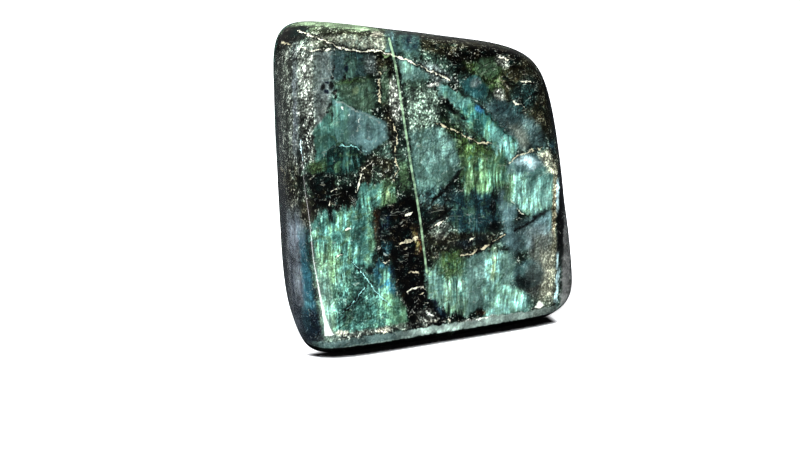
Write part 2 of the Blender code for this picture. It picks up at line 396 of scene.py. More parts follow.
     ((4, 73.6), (9.6, 70.6), (20, 60), (13, 59.5), (5, 65.5), (0, 71)), 0.5, 0.9, (0.7, 0.2, 0.1)),
    ("moss", "shard",
     ((-4, 72.6), (2, 71), (10, 65.5), (13, 61), (8, 61.6), (-2, 67.6)), 1, 0.35, (0.7, 0.3, 0.2)),
    ("clear_blue", "round", (7, 71.4), (1.4, 0.8), -40, 0.7, 0.85, (0.2, 0.4, 0)),
    ("flash_cyan", "shard",
     ((11, 67), (20.5, 60), (19, 55.5), (14, 54.5), (10, 61)), 1.2, 0.92, (0.7, 0.15, 0)),
    ("pale_cyan", "round", (15.6, 58), (2.4, 2.6), 0, 0.7, 0.8, (0.8, 0.2, 0)),
    ("olive", "shard",
     ((-4.6, 69), (0, 66.5), (3.6, 61), (2.4, 55.5), (-0.8, 58)), 1.2, 0.9, (0.5, 0.6, 0.6)),
    ("green", "shard", ((0.5, 65.4), (6, 62.2), (15, 61), (14, 56), (3, 55)), 1, 0.92, (0.8, 0.4, 0.4)),
    ("gold_green", "shard",
     ((1.6, 57.5), (16, 57.4), (16.5, 48), (10, 44.6), (3, 46), (1, 52)), 1.2, 0.92, (0.9, 0.25, 0.15)),
    ("flash_green", "round", (12.4, 51.5), (3, 4.6), 0, 0.7, 0.7, (0.9, 0.2, 0.1)),
    # middle left
    ("black", "shard",
     ((-49, 60), (-44, 56.6), (-33, 55.6), (-30.6, 47), (-36, 44.5), (-46, 46)),
      1.4, 0.93, (0.1, 0.7, 0.9)),
    ("olive", "round", (-44.6, 58.4), (2.4, 1.6), 0, 0.7, 0.8, (0.2, 0.5, 0.3)),
    ("brown", "shard",
     ((-31.5, 57), (-27, 60.5), (-20.5, 58), (-21.6, 51), (-31, 49.6)), 1, 0.95, (0, 0.9, 0.6)),
    ("slate_teal", "round", (-26, 54), (1.4, 2.4), 0, 0.7, 0.35, (0.2, 0.8, 0.2)),
    ("flash_teal", "shard",
     ((-47, 42), (-38, 45.5), (-29, 45.5), (-26.4, 36), (-28, 26), (-45, 23)), 1.4, 0.96, (0.9, 0.4, 0.15)),
    ("gold_green", "round", (-42, 27.5), (2.6, 4.2), 0, 0.7, 0.55, (0.8, 0.5, 0.2)),
    ("flash_teal", "shard",
     ((-32, 50.6), (-24, 52), (-23, 45), (-27, 43.6), (-32, 44.6)), 1, 0.93, (0.9, 0.3, 0.2)),
    ("gold_green", "slab", (-22.4, 47.6), (2.2, 4.2), 0, 0.5, 0.92, (0.8, 0.5, 0.3)),
    ("pale_moss", "slab", (-22.4, 48.4), (0.6, 1.8), 0, 0.6, 0.8, (0.6, 0.3, 0)),
    ("gold", "round", (-41.8, 27), (3.8, 6), 0, 0.7, 0.45, (0.7, 0.45, 0.2)),
    ("deep_teal", "slab", (-31, 38), (1.1, 4.5), 0, 0.8, 0.5, (0.8, 0.4, 0.2)),
    ("black", "slab", (-40.6, 43.6), (0.8, 2.4), 0, 0.5, 0.9, (0, 0.4, 0.2)),
    ("black", "shard",
     ((-25.6, 44), (-16, 46.5), (-12, 44), (-10.6, 27), (-15, 22.5), (-22.6, 27)), 1.2, 0.97, (0, 0.6, 1)),
    ("rust", "slab", (-26, 38.4), (0.8, 4.6), 0, 0.8, 0.8, (0.4, 0.6, 0.3)),
    ("rust", "slab", (-12.5, 30.6), (1.3, 5), 8, 0.7, 0.8, (0.6, 0.7, 0.6)),
    ("night", "slab", (-23.6, 38.6), (1.8, 3.4), 0, 0.6, 0.85, (0.3, 0.4, 0.3)),
    ("blue", "round", (-23, 31.4), (1.3, 1.8), 0, 0.7, 0.6, (0.3, 0.8, 0.4)),
    # middle and right
    ("grey", "shard",
     ((-16, 66.4), (-6, 67.2), (-0.8, 62), (0.6, 55), (-3, 51), (-14, 53)), 1.4, 0.93, (0.25, 0.4, 0.15)),
    ("grey_low", "shard",
     ((-15, 56), (-4, 56), (1.6, 54), (-2.4, 49.4), (-6, 47.6), (-13.6, 47)), 1.2, 0.9, (0.2, 0.3, 0.1)),
    ("gold_green", "slab", (-17.4, 53.4), (1.6, 4), 6, 0.6, 0.7, (0.7, 0.4, 0.2)),
    ("slate_dark", "shard",
     ((-12.6, 48), (-3, 49), (1, 45.5), (-3, 40.5), (-11.4, 39)), 1.6, 0.9, (0.2, 0.6, 0.7)),
    ("black", "shard",
     ((-12, 42), (-6, 42.6), (-2, 41), (-6, 36.6), (-11, 34)), 1.2, 0.85, (0.1, 0.6, 0.9)),
    ("indigo", "shard",
     ((-1.6, 46), (9, 45.5), (15, 42), (15, 33), (3, 31.5), (-2, 38)), 1.4, 0.96, (0.4, 0.3, 0.2)),
    ("slate_teal", "slab", (4.6, 39), (1, 4), 0, 0.8, 0.5, (0.6, 0.3, 0.1)),
    ("stone_blue", "shard",
     ((13, 46), (17, 45.5), (21, 39), (19, 32.6), (15, 32.6), (14.4, 41)), 1.4, 0.93, (0.2, 0.2, 0.05)),
    ("brown", "shard",
     ((-10.4, 35), (0, 33.5), (14, 32.5), (13, 28), (-4, 24.5), (-9.8, 26.5)), 1.4, 0.93, (0.1, 0.7, 0.8)),
    ("pewter", "round", (-5.6, 35), (2.2, 2.8), -30, 0.8, 0.45, (0.1, 0.9, 0.6)),
    ("night", "slab", (5, 29.6), (5, 1.4), 8, 0.7, 0.7, (0.2, 0.4, 0.3)),
    ("black", "round", (12.4, 39.6), (0.9, 2.6), 6, 0.6, 0.9, (0, 0.3, 0.2)),
    ("black", "round", (12.8, 33.8), (2.1, 1.3), 0, 0.6, 0.9, (0, 0.3, 0.2)),
    ("flash_pale", "shard",
     ((15.6, 50), (19, 54), (33, 52), (34.4, 40), (26, 35), (18, 42)), 1, 0.96, (0.7, 0.2, 0.1)),
    ("gold_green", "slab", (17.4, 46), (1.4, 5), 0, 0.6, 0.7, (0.8, 0.3, 0.2)),
    ("grey", "shard", ((25, 46), (34, 47), (34.4, 38), (27, 37)), 1.4, 0.5, (0.3, 0.2, 0.05)),
    ("slate", "shard",
     ((16.4, 53), (20, 56.4), (29, 56), (33, 52), (26, 50), (18, 50)), 1, 0.8, (0.1, 0.3, 0.05)),
    ("white_blue", "shard", ((19.6, 54), (23.5, 56), (28, 53), (26, 51)), 1.2, 0.8, (0.1, 0.3, 0)),
    ("sand", "shard",
     ((27, 56), (32, 56.4), (35, 50), (34.6, 44), (31.6, 49.4), (27, 50.6)), 1, 0.9, (0.1, 0.8, 0.4)),
    ("slate", "shard",
     ((17, 32.5), (24, 35), (34, 37), (34.4, 26), (20, 24), (16, 28)), 1.4, 0.96, (0.15, 0.25, 0.1)),
    ("haze", "shard", ((23, 32), (31, 33), (34, 26), (26, 22)), 2, 0.35, (0, 0.4, 0.1)),
    ("straw", "slab", (34.4, 34), (0.8, 16), 0, 0.7, 0.85, (0.2, 0.9, 0.5)),
    # the grey flare and the dark band along the right edge are painted reflections of the floor and of a dark
    # room, and the three pale lines on the edge are painted highlights
    ("haze", "slab", (40.6, 20), (2.6, 22), 0, 0.3, 0.95, (0, 0.15, 0)),
    ("black", "slab", (37.2, 42), (1.5, 22), -1, 0.3, 0.97, (0, 0.3, 0.1)),
    ("white_blue", "slab", (35.7, 41.4), (0.5, 4.8), 0, 0.5, 1, (0.2, 0.2, 0)),
    ("white_blue", "slab", (36.4, 11), (0.6, 5), -2, 0.5, 1, (0.2, 0.2, 0)),
    ("white_blue", "slab", (36.2, 19.4), (0.4, 2.4), -2, 0.6, 0.9, (0.2, 0.2, 0)),
    # bottom left
    ("pale_teal", "slab", (-42.2, 15.4), (2.4, 11.6), 7, 0.5, 0.93, (0.6, 0.3, 0.1)),
    ("flash_teal", "shard",
     ((-40.5, 22), (-29, 27), (-22, 14), (-21, 5), (-39.5, 5.5)), 1.2, 0.8, (0.5, 0.6, 0.3)),
    ("deep_teal", "shard",
     ((-39, 10.5), (-31, 20), (-27, 15), (-24, 8), (-36, 7)), 1.6, 0.4, (0.5, 0.5, 0.5)),
    ("blue", "shard",
     ((-28, 25.5), (-22, 28), (-20, 22), (-20.5, 15), (-25, 17)), 1.2, 0.93, (0.8, 0.3, 0.2)),
    ("night", "slab", (-20.8, 23.4), (0.9, 2.8), 0, 0.8, 0.8, (0.2, 0.3, 0.2)),
    ("gold_green", "round", (-22.6, 14.6), (1.6, 2.4), 0, 0.7, 0.7, (0.6, 0.3, 0.2)),
    ("flash_green", "shard",
     ((-23.4, 15), (-19.5, 15), (-15.8, 9), (-17, 5), (-22.4, 5)), 1, 0.8, (0.6, 0.3, 0.1)),
    ("black", "round", (-28.2, 25), (1.2, 1.1), 0, 0.6, 0.8, (0, 0.4, 0.2)),
    # bottom middle and right
    ("black", "shard",
     ((-20.5, 26), (-10.4, 27), (-8.6, 17), (-12, 10), (-17, 12.5), (-20, 19)), 1.2, 0.97, (0, 0.6, 1)),
    ("pale_teal", "shard",
     ((-10, 23), (-5, 25), (3.5, 24), (6, 12), (4, 6), (-9.2, 13)), 1.2, 0.95, (0.9, 0.25, 0.1)),
    ("pale_cyan", "shard", ((-9.8, 21), (-6, 22), (-4, 14), (-8.4, 14)), 1.2, 0.6, (0.7, 0.2, 0)),
    ("black", "shard",
     ((-16.5, 13), (-10.5, 15), (-2.8, 6.4), (-3, 3.6), (-15, 3.6)), 0.7, 0.97, (0, 0.9, 1)),
    ("night", "shard", ((-9, 12.6), (-7, 13), (-2.6, 6.6), (-4.2, 5.6)), 0.8, 0.9, (0.2, 0.2, 0.1)),
    ("pewter", "round", (-10, 7.2), (2.8, 1.9), -25, 0.8, 0.7, (0, 1, 0.8)),
    ("green", "round", (-1.6, 23.4), (3.6, 3.6), 20, 0.7, 0.9, (0.6, 0.5, 0.4)),
    ("grey", "shard", ((4, 24.6), (10.6, 26.4), (11.4, 8), (4, 6)), 0.9, 0.93, (0.2, 0.15, 0.05)),
    ("pale_cyan", "shard", ((10.4, 25.4), (16.4, 25.8), (15.6, 14), (10.8, 14)), 0.9, 0.9, (0.8, 0.2, 0)),
    ("pale_moss", "slab", (13, 20.6), (0.7, 4.4), -3, 0.7, 0.8, (0.9, 0.2, 0)),
    ("flash_pale", "shard", ((9.6, 14.6), (17, 15), (26, 9), (26, 4), (10, 4)), 1.2, 0.95, (0.6, 0.2, 0)),
    ("grey", "shard", ((15.6, 25), (20.5, 24), (21.4, 14), (16, 14)), 1.2, 0.9, (0.2, 0.25, 0.1)),
    ("pale_cyan", "slab", (19, 6.6), (6, 1.8), 6, 0.6, 0.9, (0.5, 0.3, 0)),
    ("ash", "shard", ((27, 29), (35, 30), (35.5, 8), (28, 7), (24, 12)), 1.6, 0.9, (0.1, 0.5, 0.2)),
    ("sand", "slab", (32.6, 14), (2.4, 8), 0, 0.6, 0.6, (0.1, 0.8, 0.4)),
    ("slate_dark", "round", (25.6, 16.4), (5.4, 4.6), -14, 0.2, 0.97, (0.05, 0.3, 0)),
    ("ash", "round", (28.4, 16.4), (3.4, 3.6), 0, 0.7, 0.6, (0, 0.3, 0)),
    ("black", "round", (23.6, 13.8), (2.8, 1.5), -42, 0.7, 0.75, (0, 0.15, 0)),
    # the rim above the foot: a pale band painted as the floor's reflection, with darker and paler marks over
    # it
    ("rim_grey", "slab", (-3, 2.4), (41, 1.3), 0, 0.2, 0.97, (0, 0.15, 0)),
    ("slate_dark", "slab", (-32, 2.6), (14, 1.2), 0, 0.4, 0.75, (0, 0.3, 0)),
    ("ash", "slab", (34, 2.4), (7, 1.3), 0, 0.3, 0.5, (0, 0.3, 0)),
    ("white", "shard", ((28, 4.4), (30, 6.6), (32, 4.6), (31, 4.2)), 0.35, 0.97, (0, 0.2, 0)),
    ("pewter", "slab", (-28, 5.2), (13, 0.9), 1, 0.7, 0.75, (0, 1, 0.6)),
    ("cream", "round", (-37.5, 6.2), (1.8, 0.8), 0, 0.6, 0.85, (0, 0.8, 0.3)),
    ("cream", "round", (-24, 5), (2, 0.7), 0, 0.6, 0.8, (0, 0.8, 0.3)),
    ("rust", "round", (9.2, 5.9), (1.3, 0.6), 0, 0.7, 0.8, (0, 0.7, 0.3)),
    ("white", "slab", (8.5, 3.9), (4.6, 0.3), 2, 0.9, 0.9, (0, 0.9, 0.2)),
)

# The veins: which way they run, colour, half width in mm, strength, raggedness, how dark their border is, and
# points across and up.
VEINS = (
    ("across", "cream", 0.16, 1, 0.4, 0.7,
     ((-53, 101.5), (-50, 99.6), (-46.5, 97.5), (-44, 96.2), (-41.5, 95), (-38.5, 93.2), (-36.3, 92.4),
      (-33, 91.7), (-30, 91.2), (-27, 91.4), (-25, 91), (-22.5, 90), (-19, 89), (-16, 87.6), (-13, 86.2),
      (-10, 84.7), (-6, 82.6), (-1, 80.6))),
    ("across", "cream", 0.1, 0.8, 0.5, 0.4,
     ((-51, 95), (-46, 92.6), (-43, 92.5), (-40, 92.6), (-37, 92.2))),
    ("across", "tan", 0.13, 0.8, 0.6, 0.4, ((-59, 99), (-57, 98), (-55, 97), (-53, 95.6), (-51, 95))),
    ("across", "gold", 0.3, 0.9, 0.7, 0.5, ((-25, 90.4), (-23, 89.2), (-21.3, 90))),
    ("across", "tan", 0.13, 0.7, 0.6, 0.4, ((-60, 61.5), (-57.5, 59), (-55, 57.5))),
    # this pale line up the left edge is a painted highlight, carrying the left crease's line of light higher
    ("up", "white_blue", 0.12, 0.8, 0.3, 0.2, ((-49, 58.5), (-49.5, 64), (-49.7, 69))),
    ("across", "pewter", 0.21, 0.5, 0.3, 0,
     ((-40, 78.2), (-37, 76.7), (-32.5, 74.4), (-28, 71.8), (-23, 69.2))),
    ("across", "ice", 0.1, 0.8, 0.4, 0.2,
     ((-39.5, 63), (-37.5, 64.2), (-33.5, 63.6), (-30, 62.4), (-27.5, 60.5))),
    ("across", "olive", 0.21, 0.7, 0.5, 0.3, ((-42, 68), (-39.5, 66.6), (-37.5, 65.5))),
    ("up", "cream", 0.15, 0.9, 0.6, 0.6,
     ((-33, 48), (-32, 51), (-31.3, 54), (-31, 56), (-28, 58.4), (-25, 60.5))),
    ("up", "tan", 0.14, 0.9, 0.7, 0.4,
     ((-20, 50), (-21, 53), (-19, 55.5), (-20.6, 59.5), (-20, 62.5), (-19.6, 66), (-21, 69.5),
      (-23, 72.5))),
    ("up", "tan", 0.17, 0.9, 0.7, 0.3, ((-24.6, 74), (-24.9, 77), (-25.3, 82), (-25, 87))),
    ("across", "cream", 0.14, 0.9, 0.5, 0.4, ((-41.5, 50), (-39.5, 51.3), (-37.8, 51.8))),
    ("up", "cream", 0.14, 0.9, 0.5, 0.4, ((-40.7, 45.5), (-40.8, 48.5))),
    ("across", "cream", 0.26, 0.9, 0.4, 0.2, ((-36.5, 38.5), (-33.8, 38.5))),
    ("across", "cream", 0.14, 0.8, 0.5, 0.5, ((-40, 29.5), (-38.5, 30.5), (-36.5, 31.5))),
    ("across", "ice", 0.11, 0.85, 0.5, 0.5,
     ((-36.5, 31.5), (-34.5, 29), (-32, 26), (-29, 22), (-25.5, 17), (-21.5, 12.5), (-19.8, 9))),
    ("across", "ice", 0.09, 0.75, 0.7, 0.9, ((-39, 9.5), (-36.5, 13), (-33, 16), (-30.5, 19), (-28, 21.5))),
    ("across", "tan", 0.12, 0.85, 0.8, 0.6,
     ((-9, 68.7), (-5.5, 68), (-2.5, 66.6), (1, 64.6), (3.5, 63), (6, 61.6), (9.5, 60.7), (13, 60.5))),
    ("across", "black", 0.5, 0.9, 0.6, 0.4, ((-6.5, 75.3), (-4, 73.5), (-2, 72), (2, 69.6), (4.5, 68))),
    ("across", "black", 0.26, 0.7, 0.6, 0.3,
     ((-1, 78), (3.5, 75), (7.5, 72.4), (12, 67.5), (17, 62.5), (21.5, 58.5))),
    ("across", "tan", 0.12, 0.75, 0.8, 0.3,
     ((15.5, 53), (18, 54), (21, 56), (23.5, 56.5), (27, 57.2), (31, 58.5))),
    ("across", "cream", 0.2, 0.9, 0.7, 0.3, ((20.5, 79.6), (23.5, 79), (26.8, 78.5))),
    ("across", "cream", 0.14, 0.8, 0.8, 0.3, ((12, 88.2), (15, 86.8), (18, 85.8))),
    ("across", "cream", 0.14, 0.8, 0.8, 0.3, ((17, 74), (20, 72.2), (24, 70.4))),
    ("across", "black", 0.4, 0.85, 0.6, 0.4, ((-10, 42.5), (-6, 46), (-2, 49.5), (3, 55))),
    ("across", "black", 0.4, 0.85, 0.6, 0.4, ((-9, 37), (-4, 40), (0, 43))),
    ("across", "cream", 0.2, 0.9, 0.5, 0.5, ((-8.5, 36), (-6, 36.7), (-3.5, 38.6))),
    ("across", "tan", 0.19, 0.85, 0.8, 0.7,
     ((0, 24.2), (1.6, 26), (4.5, 26), (7, 26.6), (10.5, 27.5), (13.5, 29), (15.5, 30.2), (18.5, 32))),
    ("across", "cream", 0.13, 0.85, 0.6, 0.4, ((3, 29), (5, 30.5), (7.6, 31.6))),
    ("across", "cream", 0.09, 0.7, 0.8, 0.3, ((17, 44), (20.5, 39.5), (25, 34.6))),
    ("across", "black", 0.4, 0.85, 0.5, 0.4, ((18.5, 31.8), (22.5, 32.5), (25, 33.5), (28, 35), (33, 37))),
    ("across", "slate_dark", 0.2, 0.6, 0.5, 0.2, ((21, 48.5), (25, 49), (31, 49.6))),
    ("across", "tan", 0.4, 0.95, 0.9, 0.6, ((-20.4, 31.6), (-17.5, 32.4), (-15, 32.7), (-11.3, 33.6))),
    ("across", "cream", 0.2, 0.9, 0.7, 0.4, ((-18.6, 40.3), (-16.5, 41), (-13.3, 41.6))),
    ("across", "cream", 0.2, 0.9, 0.5, 0.4, ((-25.2, 27.6), (-23.5, 26.6), (-22, 27.6), (-21.3, 29.2))),
    ("across", "tan", 0.22, 0.9, 0.5, 0.5, ((-17.2, 21.6), (-16, 22.6), (-13.5, 22.7), (-10.8, 21))),
    ("across", "cream", 0.22, 0.9, 0.5, 0.5, ((-18.2, 17.4), (-16, 16.8), (-13, 17.6), (-8.8, 16))),
    ("across", "tan", 0.16, 0.85, 0.6, 0.4, ((-13.7, 15.4), (-12, 14.8), (-9.8, 15.6))),
    ("across", "white", 0.24, 0.9, 0.8, 0.4, ((-11, 9.6), (-8.8, 8.4), (-6.3, 6.4))),
    ("up", "cream", 0.14, 0.85, 0.4, 0.2, ((0.5, 3), (1, 5.5))),
    ("up", "cream", 0.14, 0.85, 0.4, 0.2, ((-1.5, 3.5), (-2, 6.5))),
)

# The straight pale seam through the stone, as points across and up, and its half width in mm.
SEAM = ((-9.5, 20), (-10.2, 25), (-11, 31), (-11.8, 37), (-12.9, 44), (-14, 50), (-15, 55), (-15.8, 60),
        (-16.8, 66), (-17.8, 72), (-18.8, 78), (-19.7, 84), (-21, 90), (-23, 97))
SEAM_HALF_WIDTH = 0.35


class Value:
    """A number that varies over the surface: a socket, with its sums written as Python expressions."""

    def __init__(self, bench, socket):
        self.bench = bench
        self.socket = socket

    def __add__(self, other):
        return self.bench.math("ADD", self, other)

    def __sub__(self, other):
        return self.bench.math("SUBTRACT", self, other)

    def __rsub__(self, other):
        return self.bench.math("SUBTRACT", other, self)

    def __mul__(self, other):
        return self.bench.math("MULTIPLY", self, other)

    def __abs__(self):
        return self.bench.math("ABSOLUTE", self)


class Bench:
    """Makes the nodes of one tree: any node comes from node(), and the rest are short names for its use."""

    def __init__(self, tree):
        self.tree = tree

    def node(self, kind, settings=None, sockets=None):
        """A node of a type, with its settings made first and then its sockets' values or links."""
        made = self.tree.nodes.new(kind)
        for name, setting in (settings or {}).items():
            setattr(made, name, setting)
        for key, given in (sockets or {}).items():
            socket = made.inputs[key]
            if isinstance(given, Value):
                self.tree.links.new(given.socket, socket)
            elif isinstance(given, bpy.types.NodeSocket):
                self.tree.links.new(given, socket)
            else:
                socket.default_value = given
        return made

    def math(self, operation, *given):
        made = self.node("ShaderNodeMath", {"operation": operation}, dict(enumerate(given)))
        return Value(self, made.outputs[0])

    def vector(self, operation, *given):
        made = self.node("ShaderNodeVectorMath", {"operation": operation}, dict(enumerate(given)))
        return made.outputs["Vector"]

    def dot(self, vector, weights):
        made = self.node("ShaderNodeVectorMath", {"operation": "DOT_PRODUCT"}, {0: vector, 1: weights})
        return Value(self, made.outputs["Value"])

    def scaled(self, vector, factor):
        made = self.node("ShaderNodeVectorMath", {"operation": "SCALE"}, {0: vector, "Scale": factor})
        return made.outputs["Vector"]

    def joined(self, x, y, z):
        return self.node("ShaderNodeCombineXYZ", None, {0: x, 1: y, 2: z}).outputs[0]

    def parts(self, vector):
        made = self.node("ShaderNodeSeparateXYZ", None, {0: vector})
        return [Value(self, output) for output in made.outputs]

    def channels(self, colour):
        made = self.node("ShaderNodeSeparateColor", None, {0: colour})
        return [Value(self, output) for output in made.outputs]

    def ramp(self, value, start, end, first, last):
        """The first value up to the start, the last from the end on, and a smooth step between them."""
        sockets = {"Value": value, "From Min": start, "From Max": end, "To Min": first, "To Max": last}
        made = self.node("ShaderNodeMapRange", {"interpolation_type": "SMOOTHSTEP", "clamp": False}, sockets)
        return Value(self, made.outputs["Result"])

    def step(self, value, start, end):
        return self.ramp(value, start, end, 0.0, 1.0)

    def fall(self, value, full, bare):
        return self.ramp(value, full, bare, 1.0, 0.0)

    def group(self, tree, sockets):
        return self.node("ShaderNodeGroup", {"node_tree": tree}, sockets)

    def mix(self, factor, start, end):
        """A mix of two colours or vectors."""
        sockets = {0: factor, 4: start, 5: end}
        return self.node("ShaderNodeMix", {"data_type": "VECTOR"}, sockets).outputs[1]

    def curve(self, value, points):
        """A curve through points that are straight-joined and sorted along the first axis."""
        made = self.node("ShaderNodeFloatCurve", None, {"Value": value})
        mapping = made.mapping
        mapping.use_clip = False
        mapping.extend = "HORIZONTAL"
        places = mapping.curves[0].points
        places[0].location = points[0]
        places[1].location = points[-1]
        for place in points[1:-1]:
            places.new(*place)
        for place in places:
            place.handle_type = "VECTOR"
        mapping.update()
        return Value(self, made.outputs["Value"])

    def noise(self, vector, detail, roughness):
        """The noise node: its Fac output is one number, and its Color output three."""
        sockets = {"Vector": vector, "Scale": 1.0, "Detail": detail, "Roughness": roughness}
        return self.node("ShaderNodeTexNoise", {"noise_dimensions": "3D"}, sockets)

    def cells(self, vector, feature):
        """The Voronoi node: it gives the distance to the cells' edges, or a colour for each cell."""
        settings = {"feature": feature, "voronoi_dimensions": "3D"}
        return self.node("ShaderNodeTexVoronoi", settings, {"Vector": vector, "Scale": 1.0})


def new_material(name):
    """A material without nodes, and the bench to build it on."""
    material = bpy.data.materials.new(name)
    material.use_nodes = True
    material.node_tree.nodes.clear()
    return material, Bench(material.node_tree)


def direction(turn, lean):
    """The outward direction of a flat: turned from -Y towards +X, then leaned up."""
    turn, lean = np.radians(turn), np.radians(lean)
    return np.array([np.sin(turn) * np.cos(lean), -np.cos(turn) * np.cos(lean), np.sin(lean)])


def waves(points, height):
    """The polished skin's waves: a sum of sines along slanted directions, faded out towards the foot."""
    total = sum(np.sin(2 * np.pi * points @ np.array(rate) + phase) for rate, phase in WAVES)
    return height * total / len(WAVES) * np.clip(points[:, 2] / FLAT_FOOT - 0.5, 0, 1)


def outside(points, wave_height):
    """How far points lie outside the polished skin, in metres, and below zero inside it.

    It is the smooth maximum of the heights above all the flats, softness * log(sum(exp(height / softness))),
    less the waves.
    """
    beside = points - MIDDLE
    heights = [beside @ direction(turn, lean) - distance for turn, lean, distance in FLATS.values()]
    heights = np.stack(heights, axis=1)
    highest = heights.max(axis=1)
    total = np.exp((heights - highest[:, None]) / EDGE_SOFTNESS).sum(axis=1)
    return highest + EDGE_SOFTNESS * np.log(total) - waves(points, wave_height)


def ground(starts, ends, wave_height):
    """Where the rays from starts through ends leave the skin, found by halving the stretch that holds it."""
    near, far = np.zeros(len(starts)), np.full(len(starts), FURTHEST)
    for _ in range(GRINDING_STEPS):
        half = (near + far) / 2
        inside = outside(starts + (ends - starts) * half[:, None], wave_height) < 0
        near, far = np.where(inside, half, near), np.where(inside, far, half)
    return starts + (ends - starts) * near[:, None]


def polished(block, wave_height):
    """Moves points of the sawn block onto the polished skin.

    A point's ray starts on the block's upright axis, at a height that rises with the point's own: the height
    less its square over twice the block's height. Rays at the foot are level and stay in its plane.
    """
    height = block[:, 2]
    starts = np.tile(MIDDLE, (len(block), 1))
    starts[:, 2] = height - height**2 / (2 * BLOCK[2])
    beside = block - starts
    share = np.maximum(abs(beside[:, 0]) / (BLOCK[0] / 2), abs(beside[:, 1]) / (BLOCK[1] / 2))
    in_foot = height < TINY
    ends = block.copy()
    ends[in_foot] = starts[in_foot] + beside[in_foot] / np.maximum(share[in_foot], TINY)[:, None]
    skin = ground(starts, ends, wave_height)
    skin[in_foot] = starts[in_foot] + (skin - starts)[in_foot] * share[in_foot][:, None]
    skin[in_foot, 2] = 0.0
    return skin


def side_grid(axis, far):
    """One side of the sawn block as a grid of counts, and its cells' corners, anticlockwise from outside."""
    first, second = SIDE_AXES[axis]
    across, up = np.meshgrid(np.arange(CELLS[first] + 1), np.arange(CELLS[second] + 1), indexing="ij")
    counts = np.zeros(across.shape + (3,), int)
    counts[..., first] = across
    counts[..., second] = up
    counts[..., axis] = CELLS[axis] * far
    places = np.arange(across.size).reshape(across.shape)
    corners = (places[:-1, :-1], places[1:, :-1], places[1:, 1:], places[:-1, 1:])
    quads = np.stack(corners if far else corners[::-1], axis=-1).reshape(-1, 4)
    return counts.reshape(-1, 3), quads


def sawn_block():
    """The six sides of the block joined into one closed grid: points on it in metres, and its cells."""
    counts, quads, used = [], [], 0
    for axis in range(3):
        for far in (False, True):
            side, cells = side_grid(axis, far)
            counts.append(side)
            quads.append(cells + used)
            used += len(side)
    counts, quads = np.concatenate(counts), np.concatenate(quads)
    unique, where = np.unique(counts, axis=0, return_inverse=True)
    shares = np.sin((unique / CELLS * 2 - 1) * CROWDING * np.pi / 2) / np.sin(CROWDING * np.pi / 2)
    return MIDDLE + shares * BLOCK / 2, where.reshape(-1)[quads]


def stone_mesh(wave_height):
    block, quads = sawn_block()
    skin = polished(block, wave_height)
    mesh = bpy.data.meshes.new("labradorite_freeform")
    mesh.from_pydata(skin, [], quads)
    mesh.validate()
    mesh.shade_smooth()
    return mesh


def new_group(name, given, made):
    """An empty node group with named sockets: the bench to build it on, its inputs and its output node."""
    tree = bpy.data.node_groups.new(name, "ShaderNodeTree")
    for way, sockets in (("INPUT", given), ("OUTPUT", made)):
        for label, kind in sockets.items():
            tree.interface.new_socket(label, in_out=way, socket_type="NodeSocket" + kind)
    bench = Bench(tree)
    return bench, bench.node("NodeGroupInput").outputs, bench.node("NodeGroupOutput")


def laid_over(bench, mask, given, result):
    """Lays the zone's paint and its share of the markings over what is there."""
    mask = mask * Value(bench, given["Strength"])
    bench.tree.links.new(bench.mix(mask, given["Colour"], given["Paint"]), result.inputs["Colour"])
    bench.tree.links.new(bench.mix(mask, given["Markings"], given["Carried"]), result.inputs["Markings"])
    return bench.tree


LAID = {"Colour": "Vector", "Markings": "Vector"}
LAYER = {**LAID, "Paint": "Vector", "Carried": "Vector", "Strength": "Float"}


def patch_group(slab):
    """A round or slab zone: two dot products turn and scale the place on the sheet.

    A round's distance is the sum of their squares, and a slab's is the larger of the two.
    """
    sockets = {"Sheet": "Vector", "Along": "Vector", "Beside": "Vector", "Full": "Float", "Bare": "Float"}
    bench, given, result = new_group("slab_zone" if slab else "round_zone", {**sockets, **LAYER}, LAID)
    first = bench.dot(given["Sheet"], given["Along"])
    second = bench.dot(given["Sheet"], given["Beside"])
    if slab:
        far = bench.math("MAXIMUM", abs(first), abs(second))
    else:
        far = bench.math("MULTIPLY_ADD", first, first, second * second)
    return laid_over(bench, bench.fall(far, given["Full"], given["Bare"]), given, result)


def shard_group():
    """A zone with straight sides: the greatest of the distances beyond its sides, each a dot product."""
    sides = {f"Side {count + 1}": "Vector" for count in range(SHARD_SIDES)}
    sockets = {"Sheet": "Vector", **sides, "Fade": "Float", **LAYER}
    bench, given, result = new_group("shard_zone", sockets, LAID)
    far = bench.dot(given["Sheet"], given["Side 1"])
    for side in list(sides)[1:]:
        far = bench.math("MAXIMUM", far, bench.dot(given["Sheet"], given[side]))
    fade = Value(bench, given["Fade"])
    return laid_over(bench, bench.fall(far, 0 - fade, fade), given, result)


def vein_group():
    """A vein with frayed edges, its paint thinned by wear, and a wider dark border under it."""
    names = ("Off", "Width", "Ragged", "Raggedness", "Border", "Wear", "Strength")
    sockets = {**{name: "Float" for name in names}, "Colour": "Vector", "Paint": "Vector"}
    bench, given, result = new_group("vein", sockets, {"Colour": "Vector"})
    inside = Value(bench, given["Width"]) - abs(Value(bench, given["Off"]))
    ragged = Value(bench, given["Ragged"])
    beside = bench.math("MULTIPLY_ADD", ragged, BORDER_RAGGEDNESS, inside)
    border = bench.step(beside, *VEIN_BORDER) * Value(bench, given["Border"])
    colour = bench.scaled(given["Colour"], 1 - border)
    mask = bench.step(bench.math("MULTIPLY_ADD", ragged, given["Raggedness"], inside), *VEIN_EDGE)
    mask = mask * Value(bench, given["Wear"]) * Value(bench, given["Strength"])
    mixed = bench.mix(mask, colour, given["Paint"])
    bench.tree.links.new(mixed, result.inputs["Colour"])
    return bench.tree


def patch_sides(middle, half, turn):
    """The two dot products' weights that turn and scale a patch to a half size of 1."""
    cosine, sine = float(np.cos(np.radians(turn))), float(np.sin(np.radians(turn)))
    along = (cosine / half[0], sine / half[0], -(middle[0] * cosine + middle[1] * sine) / half[0])
    beside = (-sine / half[1], cosine / half[1], (middle[0] * sine - middle[1] * cosine) / half[1])
    return along, beside


